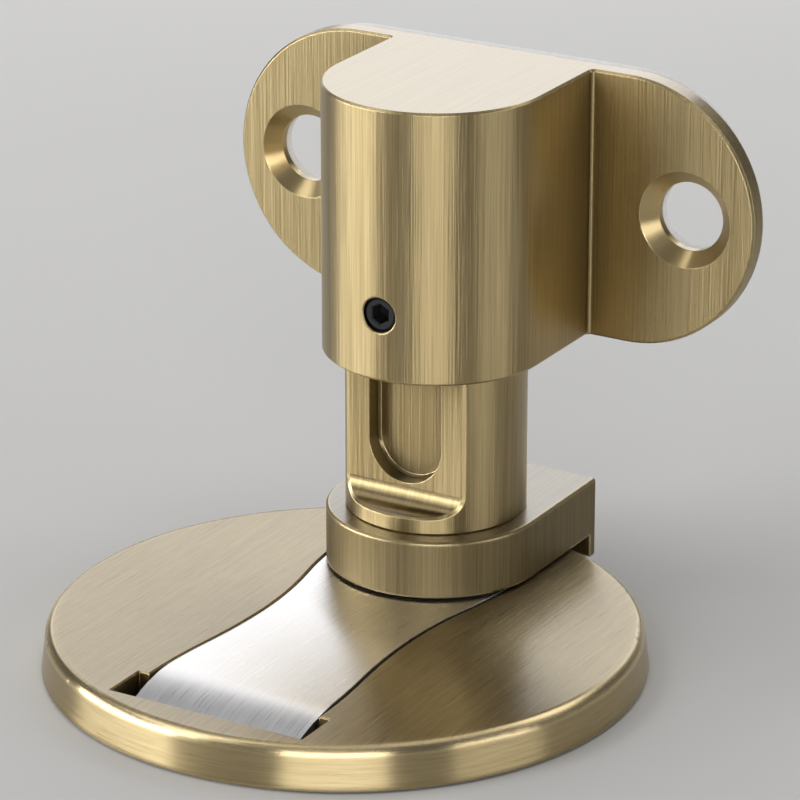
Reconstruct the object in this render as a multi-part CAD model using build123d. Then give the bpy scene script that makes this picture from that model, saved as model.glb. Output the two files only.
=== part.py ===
# Magnetic door stop: a round floor plate with a hinged steel flap, and a bracket on the door
# that carries a height-adjustable post with a magnetic foot.
# Millimetres. The origin is the centre of the floor plate on the floor, +Z is up, +Y points
# at the door and +X runs along the fixing plate.
import os
from math import asin, degrees

from build123d import *

# Floor plate
plate_diameter = 50.0
plate_height = 3.55
rim_draft = 0.45
rim_round = 0.85
edge_break = 0.12

# Pad under the floor plate, which stands a little proud of its recess
floor_pad_thickness = 0.6
floor_pad_proud = 0.2
floor_pad_margin = 1.6
pad_clearance = 0.2

# Slot for the flap, seen from above an hourglass with a wider notch at the hinge
front_land = 3.75
rear_land = 3.4
notch_length = 4.1
notch_width = 17.8
slot_front_width = 15.9
slot_waist_width = 13.8
slot_rear_width = 17.5
waist_reach = 19.35
rear_straight = 6.6
slot_corner = 1.5
rest_step_length = 2.5

# Flap and its hinge
flap_thickness = 1.6
flap_clearance = 0.25
flap_rest_gap = 0.05
flap_end_round = 0.4
curl_length = 5.2
pin_diameter = 1.1
pin_clearance = 0.05
pin_seat_length = 2.0
knuckle_wall = 0.45
knuckle_gap = 0.1

# Foot, with the lip that hangs behind the floor plate
foot_hover = 0.25
foot_radius = 9.3
foot_rear_reach = 11.5
foot_height = 4.95
foot_break = 0.2
foot_corner = 0.4
lip_drop = 2.05
lip_thickness = 1.1
lip_gap = 0.3

# Magnet and the screw that holds it and the foot to the post
magnet_diameter = 12.0
magnet_thickness = 2.5
magnet_clearance = 0.1
screw_diameter = 3.0
screw_head_diameter = 6.0
screw_hole_clearance = 0.2
screw_engagement = 6.0
screw_tip_gap = 0.5
screw_socket = 2.0
screw_socket_depth = 1.1
screw_seat_gap = 0.03

# Post
post_diameter = 15.3
post_exposed = 13.9
post_clearance = 0.08
post_top_chamfer = 0.5
post_foot_chamfer = 0.12
flat_offset = 5.2
band_height = 1.5
flat_break = 0.2
scoop_radius = 1.8
groove_width = 6.9
groove_depth = 1.65
groove_foot_gap = 3.45
groove_break = 0.2
height_travel = 10.0
travel_end_gap = 0.5

# Door bracket
housing_radius = 9.55
housing_height = 23.2
roof_thickness = 2.1
bracket_break = 0.2
junction_round = 0.3
fixing_length = 49.3
fixing_thickness = 1.85
fixing_setback = 8.9
hole_spacing = 36.6
hole_diameter = 5.9
countersink_diameter = 8.3
countersink_angle = 90.0

# Pad behind the fixing plate
door_pad_thickness = 1.0
door_pad_end_inset = 0.8
door_pad_edge_inset = 0.1
door_pad_hole_margin = 0.1

# Grub screw that clamps the post
grub_diameter = 3.0
grub_height = 5.7
grub_recess = 0.3
grub_mouth_break = 0.1
grub_face_chamfer = 0.25
grub_tip_gap = 0.1
grub_tip_chamfer = 0.6
grub_socket = 1.5
grub_socket_depth = 1.6
grub_socket_break = 0.12

# Levels
plate_bottom = floor_pad_proud
plate_top = plate_bottom + plate_height
foot_bottom = plate_top + foot_hover
foot_top = foot_bottom + foot_height
housing_bottom = foot_top + post_exposed
housing_top = housing_bottom + housing_height
housing_middle = (housing_bottom + housing_top) / 2
grub_z = housing_bottom + grub_height
bore_depth = housing_height - roof_thickness
post_top = housing_bottom + bore_depth - height_travel - travel_end_gap

# Places along Y
plate_radius = plate_diameter / 2
slot_front_y = front_land - plate_radius
slot_rear_y = plate_radius - rear_land
notch_rear_y = slot_front_y + notch_length
pin_y = slot_front_y + notch_length / 2
waist_y = slot_front_y + waist_reach
flare_y = slot_rear_y - rear_straight
axis_y = plate_radius + lip_gap + lip_thickness - foot_rear_reach
foot_rear_y = axis_y + foot_rear_reach
flat_y = axis_y - flat_offset
groove_floor_y = flat_y + groove_depth
fixing_front_y = axis_y + fixing_setback
fixing_middle_y = fixing_front_y + fixing_thickness / 2
fixing_rear_y = fixing_front_y + fixing_thickness

# Hinge radii and level
pin_radius = pin_diameter / 2
pin_bore_radius = pin_radius + pin_clearance
knuckle_radius = pin_bore_radius + knuckle_wall
pin_z = floor_pad_thickness + knuckle_gap + knuckle_radius


def upright(radius, low, high, y=0.0):
    """Round bar on a vertical axis between two levels."""
    return Pos(0, y, low) * Cylinder(radius, high - low, align=(Align.CENTER, Align.CENTER, Align.MIN))


def crosswise(radius, length, y, z):
    """Round bar along X, centred on the plane of symmetry."""
    return Pos(0, y, z) * Rot(0, 90, 0) * Cylinder(radius, length)


def slab(face, low, high):
    """Plan face made into a solid between two levels."""
    return Pos(0, 0, low) * extrude(face, high - low)


def tongue_bends(front, waist, rear):
    """Right side of the hourglass: two S-bends of tangent arcs that meet at the waist."""
    knots = [(front, notch_rear_y), (waist, waist_y), (rear, flare_y)]
    bends = []
    for start, end in zip(knots, knots[1:]):
        middle = ((start[0] + end[0]) / 2, (start[1] + end[1]) / 2)
        bend = TangentArc(start, middle, tangent=(0, 1))
        bends += [bend, TangentArc(middle, end, tangent=bend % 1)]
    return bends


def tongue_plan(inset):
    """Hourglass plan of the slot, or of the flap when it is set in by the side clearance."""
    front = slot_front_width / 2 - inset
    waist = slot_waist_width / 2 - inset
    rear = slot_rear_width / 2 - inset
    front_y = slot_front_y + inset
    rear_y = slot_rear_y - inset
    right = [
        Line((front, front_y), (front, notch_rear_y)),
        *tongue_bends(front, waist, rear),
        Line((rear, flare_y), (rear, rear_y)),
    ]
    left = [mirror(edge, about=Plane.YZ) for edge in right]
    ends = [Line((-front, front_y), (front, front_y)), Line((-rear, rear_y), (rear, rear_y))]
    plan = make_face(right + left + ends)
    return fillet(plan.vertices().group_by(Axis.Y)[-1], slot_corner - inset)


def foot_plan():
    """Half round about the post's axis, with straight sides back to a square rear."""
    front = ThreePointArc((-foot_radius, axis_y), (0, axis_y - foot_radius), (foot_radius, axis_y))
    rear = Polyline(front @ 1, (foot_radius, foot_rear_y), (-foot_radius, foot_rear_y), front @ 0)
    plan = make_face([front, rear])
    return fillet(plan.vertices().group_by(Axis.Y)[-1], foot_corner)


def housing_plan():
    """Half round with straight sides that flare on a small radius into the fixing plate."""
    front = ThreePointArc(
        (-housing_radius, axis_y),
        (0, axis_y - housing_radius),
        (housing_radius, axis_y),
    )
    flare_centre = (housing_radius + junction_round, fixing_front_y - junction_round)
    flare = CenterArc(flare_centre, junction_round, 180, -90)
    right = [Line(front @ 1, flare @ 0), flare]
    left = [mirror(edge, about=Plane.YZ) for edge in right]
    root_x = (flare @ 1).X
    root = Polyline(flare @ 1, (root_x, fixing_middle_y), (-root_x, fixing_middle_y), (-root_x, fixing_front_y))
    return make_face([front, *right, *left, root])


def stadium(length, height, front_y, thickness):
    """Upright plate with round ends, level with the housing."""
    plane = Plane(origin=(0, front_y, housing_middle), x_dir=(1, 0, 0), z_dir=(0, 1, 0))
    return extrude(plane * SlotOverall(length, height), thickness)


def make_floor_plate():
    section = make_face(Polyline(
        (0, plate_bottom),
        (plate_radius, plate_bottom),
        (plate_radius - rim_draft, plate_top),
        (0, plate_top),
        close=True,
    ))
    shoulder = section.vertices().sort_by_distance((plate_radius, plate_top))[0]
    plate = revolve(Plane.XZ * fillet(shoulder, rim_round), Axis.Z)

    rest_step = Pos(0, slot_rear_y - rest_step_length, 0) * Box(
        plate_diameter,
        plate_radius,
        plate_top - flap_thickness - flap_rest_gap,
        align=(Align.CENTER, Align.MIN, Align.MIN),
    )
    plate -= slab(tongue_plan(0), 0, plate_top) - rest_step
    plate -= Pos(0, slot_front_y, 0) * Box(
        notch_width,
        notch_length,
        plate_top,
        align=(Align.CENTER, Align.MIN, Align.MIN),
    )
    top_face = plate.faces().filter_by(GeomType.PLANE).sort_by(Axis.Z)[-1]
    plate = chamfer(top_face.inner_wires().edges(), edge_break)

    recess_radius = plate_radius - floor_pad_margin + pad_clearance
    plate -= upright(recess_radius, 0, floor_pad_thickness)
    seat_span = notch_width + 2 * pin_seat_length
    plate -= crosswise(pin_radius, seat_span, pin_y, pin_z)
    plate -= Pos(0, pin_y, 0) * Box(
        seat_span,
        pin_diameter,
        pin_z,
        align=(Align.CENTER, Align.CENTER, Align.MIN),
    )
    return plate


def make_floor_pad():
    return upright(plate_radius - floor_pad_margin, 0, floor_pad_thickness)


def make_hinge_pin():
    return crosswise(pin_radius, notch_width + 2 * pin_seat_length, pin_y, pin_z)


def make_flap():
    drop = plate_top - pin_z
    underside = plate_top - flap_thickness
    curl_y = pin_y + curl_length
    rear_y = slot_rear_y - flap_clearance

    # The top bends down on a radius that runs tangent into the knuckle round the pin
    curl_radius = (curl_length**2 + drop**2 - knuckle_radius**2) / (2 * (drop - knuckle_radius))
    curl_turn = asin(curl_length / (curl_radius - knuckle_radius))
    curl = CenterArc((curl_y, plate_top - curl_radius), curl_radius, 90, degrees(curl_turn))
    under_turn = asin((underside - pin_z) / knuckle_radius)
    knuckle = CenterArc(
        (pin_y, pin_z),
        knuckle_radius,
        90 + degrees(curl_turn),
        270 + degrees(under_turn - curl_turn),
    )
    tongue = Polyline(knuckle @ 1, (rear_y, underside), (rear_y, plate_top), curl @ 0)
    section = make_face([curl, knuckle, tongue])
    section = fillet(section.vertices().sort_by_distance((rear_y, plate_top))[0], flap_end_round)
    flap = extrude(Plane.YZ * section, notch_width / 2, both=True)
    flap &= slab(tongue_plan(flap_clearance), 0, plate_top)
    return flap - crosswise(pin_bore_radius, notch_width, pin_y, pin_z)


def make_foot():
    foot = slab(foot_plan(), foot_bottom, foot_top)
    lip = Pos(0, foot_rear_y, 0) * Box(
        2 * foot_radius,
        lip_thickness,
        foot_bottom,
        align=(Align.CENTER, Align.MAX, Align.MIN),
    )
    foot += lip & slab(foot_plan(), foot_bottom - lip_drop, foot_bottom)
    foot = chamfer(foot.faces().sort_by(Axis.Z)[-1].edges(), foot_break)
    foot -= upright(magnet_diameter / 2 + magnet_clearance, foot_bottom, foot_bottom + magnet_thickness, axis_y)
    foot -= upright(screw_diameter / 2 + screw_hole_clearance, foot_bottom, foot_top, axis_y)
    return foot


def head_cone(gap):
    """Countersunk head, or its seat when a gap is given, flush with the magnet's underside."""
    top_radius = screw_diameter / 2 + gap
    low_radius = screw_head_diameter / 2 + gap
    height = low_radius - top_radius
    cone = Cone(low_radius, top_radius, height, align=(Align.CENTER, Align.CENTER, Align.MIN))
    return Pos(0, axis_y, foot_bottom) * cone


def make_magnet():
    magnet = upright(magnet_diameter / 2, foot_bottom, foot_bottom + magnet_thickness, axis_y)
    magnet -= upright(screw_diameter / 2 + screw_hole_clearance, foot_bottom, foot_top, axis_y)
    return magnet - head_cone(screw_seat_gap)


def hex_socket(across_flats):
    return RegularPolygon(across_flats / 2, 6, major_radius=False, rotation=30)


def make_post_screw():
    screw = head_cone(0) + upright(screw_diameter / 2, foot_bottom, foot_top + screw_engagement, axis_y)
    socket = Pos(0, axis_y, 0) * hex_socket(screw_socket)
    return screw - slab(socket, foot_bottom, foot_bottom + screw_socket_depth)


def make_post():
    post = upright(post_diameter / 2, foot_top, post_top, axis_y)
    post = chamfer(post.faces().sort_by(Axis.Z)[0].edges(), post_foot_chamfer)
    post = chamfer(post.faces().sort_by(Axis.Z)[-1].edges(), post_top_chamfer)

    # The front flat ends above a full round band, in a scoop
    band_top = foot_top + band_height
    front_y = axis_y - post_diameter
    milled = make_face(Polyline(
        (front_y, band_top),
        (flat_y, band_top),
        (flat_y, housing_top),
        (front_y, housing_top),
        close=True,
    ))
    milled = fillet(milled.vertices().sort_by_distance((flat_y, band_top))[0], scoop_radius)
    post -= extrude(Plane.YZ * milled, post_diameter, both=True)
    front_edges = post.edges().filter_by_position(Axis.Y, front_y, flat_y + edge_break)
    side_edges = front_edges.filter_by(Axis.X, reverse=True)
    below_top = side_edges.filter_by_position(Axis.Z, foot_top, post_top - post_top_chamfer)
    post = chamfer(below_top, flat_break)

    low_z = foot_top + groove_foot_gap + groove_width / 2
    groove_plane = Plane(origin=(0, flat_y, (low_z + grub_z) / 2), x_dir=(0, 0, 1), z_dir=(0, 1, 0))
    groove = extrude(groove_plane * SlotCenterToCenter(grub_z - low_z, groove_width), groove_depth)
    post -= chamfer(groove.faces().sort_by(Axis.Y)[-1].edges(), groove_break)
    return post - upright(screw_diameter / 2, foot_top, foot_top + screw_engagement + screw_tip_gap, axis_y)


def screw_places():
    """Centres of the two holes in the ears, on the front of the fixing plate."""
    return [(side * hole_spacing / 2, fixing_front_y, housing_middle) for side in (-1, 1)]


def make_door_bracket():
    housing = slab(housing_plan(), housing_bottom, housing_top)
    rims = housing.faces().filter_by(Axis.Z).edges().group_by(Axis.Y)
    housing = chamfer([edge for rim in rims[:-2] for edge in rim], bracket_break)
    fixing_plate = stadium(fixing_length, housing_height, fixing_front_y, fixing_thickness)
    fixing_plate = chamfer(fixing_plate.faces().filter_by(Axis.Y).edges(), bracket_break)
    bracket = housing + fixing_plate
    bore_radius = post_diameter / 2 + post_clearance
    bracket -= upright(bore_radius, housing_bottom, housing_bottom + bore_depth, axis_y)
    for place in screw_places():
        front = Plane(origin=place, x_dir=(1, 0, 0), z_dir=(0, -1, 0))
        bracket -= front * CounterSinkHole(
            hole_diameter / 2, countersink_diameter / 2, fixing_thickness, countersink_angle
        )
    grub_plane = Plane(origin=(0, axis_y, grub_z), x_dir=(1, 0, 0), z_dir=(0, -1, 0))
    bracket -= extrude(grub_plane * Circle(grub_diameter / 2), 2 * housing_radius)
    mouth = bracket.edges().sort_by_distance((0, axis_y - housing_radius, grub_z))[0]
    return chamfer(mouth, grub_mouth_break)


def make_door_pad():
    length = fixing_length - 2 * door_pad_end_inset
    height = housing_height - 2 * door_pad_edge_inset
    pad = stadium(length, height, fixing_rear_y, door_pad_thickness)
    for x, _, z in screw_places():
        plane = Plane(origin=(x, fixing_rear_y, z), x_dir=(1, 0, 0), z_dir=(0, 1, 0))
        pad -= extrude(plane * Circle(hole_diameter / 2 + door_pad_hole_margin), door_pad_thickness)
    return pad


def make_grub_screw():
    front_y = axis_y - housing_radius + grub_recess
    length = groove_floor_y - grub_tip_gap - front_y
    plane = Plane(origin=(0, front_y, grub_z), x_dir=(1, 0, 0), z_dir=(0, 1, 0))
    screw = extrude(plane * Circle(grub_diameter / 2), length)
    screw = chamfer(screw.faces().sort_by(Axis.Y)[-1].edges(), grub_tip_chamfer)
    screw = chamfer(screw.faces().sort_by(Axis.Y)[0].edges(), grub_face_chamfer)
    screw -= extrude(plane * hex_socket(grub_socket), grub_socket_depth)
    return chamfer(screw.faces().sort_by(Axis.Y)[0].inner_wires().edges(), grub_socket_break)


pieces = {
    "floor_plate": make_floor_plate(),
    "floor_adhesive_pad": make_floor_pad(),
    "hinge_pin": make_hinge_pin(),
    "flap": make_flap(),
    "foot": make_foot(),
    "magnet": make_magnet(),
    "post_screw": make_post_screw(),
    "post": make_post(),
    "door_bracket": make_door_bracket(),
    "door_adhesive_pad": make_door_pad(),
    "grub_screw": make_grub_screw(),
}

os.makedirs("parts", exist_ok=True)
for name, shape in pieces.items():
    export_step(shape, f"parts/{name}.step")
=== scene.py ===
import math

import bpy
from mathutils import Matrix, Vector


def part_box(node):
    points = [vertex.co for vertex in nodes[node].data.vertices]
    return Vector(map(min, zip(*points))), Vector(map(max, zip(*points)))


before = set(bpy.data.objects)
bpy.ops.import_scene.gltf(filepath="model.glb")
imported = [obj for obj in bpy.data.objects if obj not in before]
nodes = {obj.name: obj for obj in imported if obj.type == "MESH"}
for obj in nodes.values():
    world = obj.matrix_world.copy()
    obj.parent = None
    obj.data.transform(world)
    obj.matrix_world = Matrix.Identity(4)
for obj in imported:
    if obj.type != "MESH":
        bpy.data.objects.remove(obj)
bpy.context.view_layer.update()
MM = 0.001

# Camera at the photograph's angle: degrees round the object and up, lens and sensor in millimetres
camera_azimuth = 30.418
camera_elevation = 21.067
camera_distance = 355.15 * MM
camera_target = Vector((1.105, 7.0, 20.888)) * MM
camera_lens = 194.98
camera_sensor = 36.0
camera_clip = (0.01, 10.0)

# Floor, surroundings and the point that the lamps look at
floor_half = 2.0
floor_colour = (0.68, 0.675, 0.665)
floor_cloud = 0.97
world_colour = (0.10, 0.10, 0.105)
light_aim = Vector((0, 10, 22)) * MM

# Surface colours, linear: each metal runs between a light and a dark tone, and rounded brass edges get a
# paler colour as a painted highlight
brass_light = (0.50, 0.395, 0.21)
brass_dark = (0.34, 0.262, 0.128)
brass_edge_highlight = (0.64, 0.515, 0.29)
steel_light = (0.97, 0.965, 0.965)
steel_dark = (0.84, 0.83, 0.84)
nickel_colour = (0.62, 0.59, 0.54)
zinc_colour = (0.58, 0.58, 0.59)
plating_shade = 0.86
oxide_light = (0.028, 0.028, 0.031)
oxide_dark = (0.010, 0.010, 0.012)
foam_light = (0.92, 0.915, 0.90)
foam_pore = (0.78, 0.775, 0.76)
foam_cloud = (0.82, 0.81, 0.79)

# Brushing: streaks to the metre across the lines and along them, and each layer's share of the tone
brush_layers = ((9000.0, 100.0, 0.44), (4200.0, 45.0, 0.48), (1500.0, 16.0, 0.08))
brush_depth = 3.2e-5
brush_gloss = 0.12
tone_onset = (0.32, 0.68)

# Edges with a painted highlight: radius to which the shading rounds them, how far the rounded normal leaves
# the face's own one (as a cosine, from none of the painted highlight to all of it), and the roughness along
# them
edge_round = 0.12 * MM
edge_highlight_onset = (0.99, 0.93)
edge_highlight_roughness = 0.26

# Floor plate's rim: its width and soft inner border, its rounding, the normal's height where its slope starts
# and ends (the slope gets the painted edge highlight), its painted light as a gain in brightness, and the
# share of the brushing's relief that it keeps
rim_width = 1.6 * MM
rim_blend = 0.32 * MM
rim_round = 0.5 * MM
rim_slope_low = (0.05, 0.25)
rim_slope_high = (0.995, 0.93)
rim_painted_light_gain = 1.08
rim_relief = 0.25

# Painted shade: darker colour in corners and recesses, where the same piece leaves little of the sky open
painted_shade_reach = 16.0 * MM
painted_shade_onset = (0.4, 1.0)
painted_shade_share = 0.5

# Lacquer on the brass faces that look up, which shows at a flat angle
coat_onset = (0.30, 0.65)
coat_roughness = 0.22
coat_ior = 3.0

# Screw holes in the bracket's ears, turned and not brushed
hole_spacing = 36.6 * MM
countersink_diameter = 8.3 * MM
countersink_flat = (0.8, 0.95)
countersink_tone = 0.6
countersink_roughness = 0.3


def direction(azimuth, elevation):
    """Unit vector towards a place round the object: azimuth 0 is the front, 90 the right."""
    a = math.radians(azimuth)
    e = math.radians(elevation)
    return Vector((math.sin(a) * math.cos(e), -math.cos(a) * math.cos(e), math.sin(e)))


def scaled(colour, share):
    return tuple(c * share for c in colour)


def opaque(colour):
    return (*colour, 1.0)


class Shader:
    """A node tree with one Principled surface, and short ways to add nodes to it."""

    def __init__(self, name):
        self.material = bpy.data.materials.new(name)
        self.material.use_nodes = True
        self.tree = self.material.node_tree
        self.surface = self.tree.nodes["Principled BSDF"]

    def add(self, kind, inputs=(), **settings):
        node = self.tree.nodes.new(kind)
        for key, value in settings.items():
            setattr(node, key, value)
        for socket, value in dict(inputs).items():
            self.put(node, socket, value)
        return node

    def put(self, node, socket, value):
        """A socket takes another node's output or a plain value."""
        if isinstance(value, bpy.types.NodeSocket):
            self.tree.links.new(value, node.inputs[socket])
        else:
            node.inputs[socket].default_value = value

    def set(self, **values):
        """Values of the Principled surface, with underscores for the spaces in its sockets' names."""
        for name, value in values.items():
            self.put(self.surface, name.replace("_", " "), value)

    def math(self, operation, a, b=0.0):
        return self.add("ShaderNodeMath", {0: a, 1: b}, operation=operation).outputs[0]

    def vector(self, operation, a, b):
        return self.add("ShaderNodeVectorMath", {0: a, 1: b}, operation=operation).outputs["Vector"]

    def dot(self, a, b):
        return self.add("ShaderNodeVectorMath", {0: a, 1: b}, operation="DOT_PRODUCT").outputs["Value"]

    def length(self, a, b):
        """Length of the diagonal over two sides."""
        squares = self.math("ADD", self.math("POWER", a, 2.0), self.math("POWER", b, 2.0))
        return self.math("SQRT", squares)

    def mix(self, factor, a, b, kind="RGBA"):
        node = self.add("ShaderNodeMix", data_type=kind)
        pair = {"FLOAT": (2, 3), "VECTOR": (4, 5), "RGBA": (6, 7)}[kind]
        self.put(node, 0, factor)
        self.put(node, pair[0], a)
        self.put(node, pair[1], b)
        return node.outputs[{"FLOAT": 0, "VECTOR": 1, "RGBA": 2}[kind]]

    def step(self, value, low, high):
        """Soft step from 0 at low to 1 at high. Low may be the greater of the two."""
        node = self.add(
            "ShaderNodeMapRange",
            {"Value": value, "From Min": low, "From Max": high},
            interpolation_type="SMOOTHSTEP",
        )
        return node.outputs["Result"]

    def around(self, value, middle, spread):
        """Turns a value between 0 and 1 into one that lies within spread of the middle."""
        return self.math("ADD", self.math("MULTIPLY", self.math("SUBTRACT", value, 0.5), 2 * spread), middle)

    def noise(self, place, scale=1.0, detail=2.0):
        node = self.add(
            "ShaderNodeTexNoise",
            {"Vector": place, "Scale": scale, "Detail": detail, "Roughness": 0.55},
            noise_dimensions="3D",
        )
        return node.outputs["Fac"]

    def place(self):
        return self.add("ShaderNodeTexCoord").outputs["Object"]

    def normal(self):
        return self.add("ShaderNodeNewGeometry").outputs["Normal"]

    def axes(self, vector):
        return self.add("ShaderNodeSeparateXYZ", {0: vector}).outputs

    def rounded(self, radius):
        """Normal with the edges rounded off."""
        return self.add("ShaderNodeBevel", {"Radius": radius}, samples=6).outputs["Normal"]

    def open_share(self, reach):
        """Share of the sky above a point that the same piece leaves open: low in corners and recesses."""
        node = self.add("ShaderNodeAmbientOcclusion", {"Distance": reach}, samples=8, only_local=True)
        return node.outputs["AO"]

    def bump(self, height, distance, normal=None):
        node = self.add("ShaderNodeBump", {"Height": height, "Distance": distance})
        if normal is not None:
            self.put(node, "Normal", normal)
        return node.outputs["Normal"]


def streaks(shader, place, axes, shorter):
    """Noise drawn out along some axes of a place, in layers from fine to broad."""
    total = None
    for across, along, share in brush_layers:
        scale = [across, across, across]
        for axis in axes:
            scale[axis] = along * shorter
        layer = shader.noise(shader.vector("MULTIPLY", place, tuple(scale)))
        layer = shader.math("MULTIPLY", layer, share)
        total = layer if total is None else shader.math("ADD", total, layer)
    return total


plate_low, plate_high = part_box("floor_plate")
plate_radius = (plate_high.x - plate_low.x) / 2


def rim_place(shader, place):
    """Place round the floor plate's axis: along the rim, outwards and up."""
    xyz = shader.axes(place)
    arc = shader.math("MULTIPLY", shader.math("ARCTAN2", xyz["Y"], xyz["X"]), plate_radius)
    outwards = shader.length(xyz["X"], xyz["Y"])
    return shader.add("ShaderNodeCombineXYZ", {0: arc, 1: outwards, 2: xyz["Z"]}).outputs[0]


def rim_mask(shader, place):
    """1 on the floor plate's rim, 0 inside it. The place is one from rim_place."""
    inner_border = plate_radius - rim_width
    return shader.step(shader.axes(place)["Y"], inner_border, inner_border + rim_blend)


def rim_slope(shader, rounded):
    """1 on the slope between the floor plate's top and its outer wall, 0 on both of these."""
    height = shader.axes(rounded)["Z"]
    return shader.math("MULTIPLY", shader.step(height, *rim_slope_low), shader.step(height, *rim_slope_high))


bracket_low, bracket_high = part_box("door_bracket")
hole_height = (bracket_low.z + bracket_high.z) / 2


def in_countersinks(shader, place):
    """1 on the slanted and inner walls of the two screw holes, 0 elsewhere."""
    xyz = shader.axes(place)
    across = shader.math("SUBTRACT", shader.math("ABSOLUTE", xyz["X"]), hole_spacing / 2)
    above = shader.math("SUBTRACT", xyz["Z"], hole_height)
    inside = shader.math("LESS_THAN", shader.length(across, above), countersink_diameter / 2)
    flat = shader.step(shader.math("ABSOLUTE", shader.axes(shader.normal())["Y"]), *countersink_flat)
    return shader.math("SUBTRACT", inside, shader.math("MULTIPLY", inside, flat))


def brushed_metal(name, light, dark, edge_highlight_colour, roughness, anisotropy=0.95, side_axes=(2,), round_sides=False,
                  turn=(0.75, 0.9), edge=edge_round, shorter=1.0, depth=brush_depth, top_contrast=1.0,
                  screw_holes=False):
    """Metal with fine streaks: along Y on the faces that look up, along another way on the sides.

    The change from one to the other lies where the normal's height is between the two values of turn.
    Rounded edges get a painted highlight: a paler colour than the faces, and less roughness. The shader comes
    back with a mask that is 1 on the faces that look up.
    """
    shader = Shader(name)
    place = shader.place()
    side_place = place
    up = shader.step(shader.math("ABSOLUTE", shader.axes(shader.normal())["Z"]), *turn)
    if round_sides:
        side_place = rim_place(shader, place)
        on_rim = rim_mask(shader, side_place)
        edge = shader.mix(on_rim, edge, rim_round, "FLOAT")
    rounded = shader.rounded(edge)
    # Painted highlight: rounded edges get a paler colour, and less roughness
    edge_highlight = shader.step(shader.dot(rounded, shader.normal()), *edge_highlight_onset)
    if round_sides:
        # The slope of the floor plate's rim gets the painted edge highlight too
        edge_highlight = shader.math("MAXIMUM", edge_highlight, shader.math("MULTIPLY", on_rim, rim_slope(shader, rounded)))

    along_sides = streaks(shader, side_place, side_axes, shorter)
    along_top = shader.around(streaks(shader, place, (1, 2), shorter), 0.5, 0.5 * top_contrast)
    tone = shader.mix(up, along_sides, along_top, "FLOAT")
    tangent = shader.mix(up, (0.0, 0.0, 1.0), (1.0, 0.0, 0.0), "VECTOR")
    gloss = shader.mix(edge_highlight, shader.around(tone, roughness, brush_gloss), edge_highlight_roughness, "FLOAT")
    # Painted shade: the colour darkens where the piece closes off the sky, in corners and recesses; the
    # countersinks are left without it
    unshaded = shader.step(shader.open_share(painted_shade_reach), *painted_shade_onset)
    if screw_holes:
        turned = in_countersinks(shader, place)
        tone = shader.mix(turned, tone, countersink_tone, "FLOAT")
        tangent = shader.mix(turned, tangent, (0.0, 1.0, 0.0), "VECTOR")
        gloss = shader.mix(turned, gloss, countersink_roughness, "FLOAT")
        unshaded = shader.math("MAXIMUM", unshaded, turned)

    colour = shader.mix(shader.step(tone, *tone_onset), opaque(dark), opaque(light))
    # Painted shade in corners and recesses
    colour = shader.mix(unshaded, opaque(scaled(dark, painted_shade_share)), colour)
    # Painted highlight along the rounded edges
    colour = shader.mix(edge_highlight, colour, opaque(edge_highlight_colour))
    relief = tone
    if round_sides:
        # Painted light: the rim's colour is brightened
        colour = shader.mix(on_rim, colour, shader.vector("MULTIPLY", colour, (rim_painted_light_gain, rim_painted_light_gain, rim_painted_light_gain)))
        share = shader.mix(on_rim, 1.0, rim_relief, "FLOAT")
        relief = shader.math("MULTIPLY", shader.math("SUBTRACT", tone, 0.5), share)
    shader.set(
        Base_Color=colour,
        Metallic=1.0,
        Roughness=gloss,
        Anisotropic=anisotropy,
        Normal=shader.bump(relief, depth, rounded),
        Tangent=tangent,
    )
    return shader, up


def lacquered_brass(name, shade=1.0, lacquer=1.0, roughness=0.37, **brushing):
    light = scaled(brass_light, shade)
    dark = scaled(brass_dark, shade)
    shader, up = brushed_metal(name, light, dark, brass_edge_highlight, roughness, **brushing)
    facing = shader.add("ShaderNodeLayerWeight").outputs["Facing"]
    coat = shader.math("MULTIPLY", shader.math("MULTIPLY", shader.step(facing, *coat_onset), up), lacquer)
    shader.set(Coat_Weight=coat, Coat_Roughness=coat_roughness, Coat_IOR=coat_ior)
    return shader.material


def brushed_steel(name):
    brushing = dict(anisotropy=0.8, side_axes=(1, 2), shorter=3.0, depth=0.1 * brush_depth)
    shader, up = brushed_metal(name, steel_light, steel_dark, steel_light, 0.3, **brushing)
    return shader.material


def plated_steel(name, colour, roughness):
    """Plated steel with a faint grain."""
    shader = Shader(name)
    grain = shader.noise(shader.place(), scale=4000.0, detail=3.0)
    shader.set(
        Base_Color=shader.mix(grain, opaque(scaled(colour, plating_shade)), opaque(colour)),
        Metallic=1.0,
        Roughness=shader.around(grain, roughness, 0.08),
        Normal=shader.bump(grain, 1.5e-6),
    )
    return shader.material


def black_oxide(name):
    """Blackened steel, dull and grainy."""
    shader = Shader(name)
    grain = shader.noise(shader.place(), scale=6000.0, detail=3.0)
    shader.set(
        Base_Color=shader.mix(grain, opaque(oxide_dark), opaque(oxide_light)),
        Metallic=0.4,
        Roughness=shader.around(grain, 0.38, 0.1),
        Normal=shader.bump(grain, 3e-6),
    )
    return shader.material


def foam(name):
    """Closed-cell adhesive foam, pale, with fine pores."""
    shader = Shader(name)
    place = shader.place()
    pores = shader.add("ShaderNodeTexVoronoi", {"Vector": place, "Scale": 5000.0}).outputs["Distance"]
    cloud = shader.math("MULTIPLY", shader.noise(place, scale=400.0), 0.25)
    tint = shader.mix(shader.step(pores, 0.1, 0.6), opaque(foam_pore), opaque(foam_light))
    shader.set(
        Base_Color=shader.mix(cloud, tint, opaque(foam_cloud)),
        Roughness=0.8,
        Normal=shader.bump(pores, 2e-5),
    )
    return shader.material


def dress(node, material):
    for slot in nodes[node].material_slots:
        slot.material = material


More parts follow.
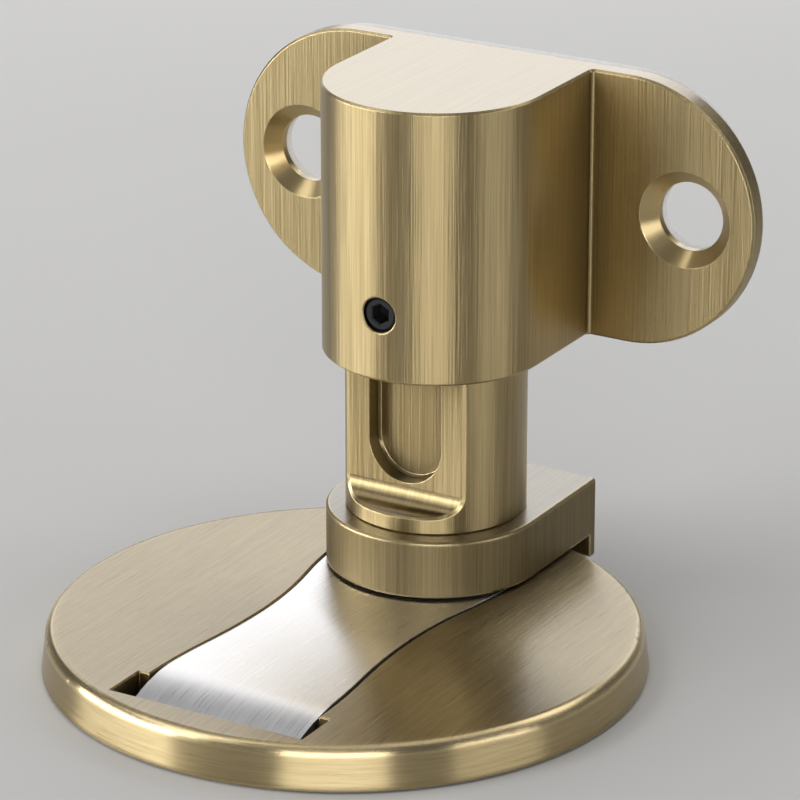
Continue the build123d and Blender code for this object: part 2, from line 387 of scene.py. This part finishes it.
disc = dict(roughness=0.31, side_axes=(0,), round_sides=True, shorter=3.0, depth=2.1 * brush_depth)
dress("floor_plate", lacquered_brass("turned_brass", shade=0.8, lacquer=0.5, **disc))
dress("door_bracket", lacquered_brass("brushed_brass", top_contrast=0.4, screw_holes=True))
dress("post", lacquered_brass("milled_brass", turn=(0.04, 0.2)))
# The foot's brass, at 0.55 of the colour of the other brass parts, is painted shade
dress("foot", lacquered_brass("foot_brass", shade=0.55, roughness=0.55, anisotropy=0.5, edge=0.3 * MM))
dress("flap", brushed_steel("flap_steel"))
dress("magnet", plated_steel("magnet_nickel", nickel_colour, 0.22))
zinc = plated_steel("pin_steel", zinc_colour, 0.3)
for name in ("hinge_pin", "post_screw"):
    dress(name, zinc)
dress("grub_screw", black_oxide("black_steel"))
pad = foam("adhesive_foam")
for name in ("floor_adhesive_pad", "door_adhesive_pad"):
    dress(name, pad)


def make_floor():
    mesh = bpy.data.meshes.new("floor")
    corners = [(x * floor_half, y * floor_half, 0) for x, y in ((-1, -1), (1, -1), (1, 1), (-1, 1))]
    mesh.from_pydata(corners, [], [(0, 1, 2, 3)])
    floor = bpy.data.objects.new("floor", mesh)
    bpy.context.scene.collection.objects.link(floor)
    shader = Shader("floor")
    cloud = shader.noise(shader.place(), scale=6.0)
    tint = shader.mix(cloud, opaque(scaled(floor_colour, floor_cloud)), opaque(floor_colour))
    shader.set(Base_Color=tint, Roughness=0.75, Specular_IOR_Level=0.2)
    mesh.materials.append(shader.material)


def softbox(name, azimuths, elevations, distance, radiance):
    """Flat panel light that fills a window of azimuths and elevations, in degrees, round the object.

    Its distance changes how it falls on the floor, and hardly how it looks from the object.
    """
    facing = direction(sum(azimuths) / 2, sum(elevations) / 2)
    data = bpy.data.lights.new(name, "AREA")
    data.shape = "RECTANGLE"
    data.size = 2 * distance * math.tan(math.radians(azimuths[1] - azimuths[0]) / 2)
    data.size_y = 2 * distance * math.tan(math.radians(elevations[1] - elevations[0]) / 2)
    data.energy = radiance * math.pi * data.size * data.size_y
    lamp = bpy.data.objects.new(name, data)
    lamp.location = light_aim + facing * distance
    lamp.rotation_mode = "QUATERNION"
    lamp.rotation_quaternion = (-facing).to_track_quat("-Z", "Y")
    lamp.visible_camera = False
    bpy.context.scene.collection.objects.link(lamp)


def make_world():
    world = bpy.data.worlds.new("studio")
    world.use_nodes = True
    backdrop = world.node_tree.nodes["Background"]
    backdrop.inputs["Color"].default_value = opaque(world_colour)
    backdrop.inputs["Strength"].default_value = 1.0
    bpy.context.scene.world = world


def make_camera():
    data = bpy.data.cameras.new("camera")
    data.lens = camera_lens
    data.sensor_width = camera_sensor
    data.clip_start, data.clip_end = camera_clip
    camera = bpy.data.objects.new("camera", data)
    back = direction(camera_azimuth, camera_elevation)
    camera.location = camera_target + back * camera_distance
    camera.rotation_mode = "QUATERNION"
    camera.rotation_quaternion = (-back).to_track_quat("-Z", "Y")
    bpy.context.scene.collection.objects.link(camera)
    bpy.context.scene.camera = camera


make_floor()
softbox("overhead", (-170, -110), (62, 98), 0.50, 0.7)
softbox("top_left", (-76, -40), (46, 62), 0.50, 2.3)
softbox("back_left", (-178, -122), (8, 42), 0.35, 1.35)
softbox("front_left", (-82, -34), (0, 16), 4.00, 9.7)
softbox("front_right", (8, 46), (0, 16), 4.00, 7.6)
softbox("right", (70, 106), (0, 14), 4.00, 3.4)
softbox("front_strip", (-42, -25), (15, 34), 0.50, 3.8)
softbox("front_high", (-30, 34), (38, 48), 0.50, 0.9)
softbox("back_right", (138, 176), (40, 56), 0.50, 2.4)
make_world()
make_camera()
bpy.context.scene.view_settings.view_transform = "Standard"
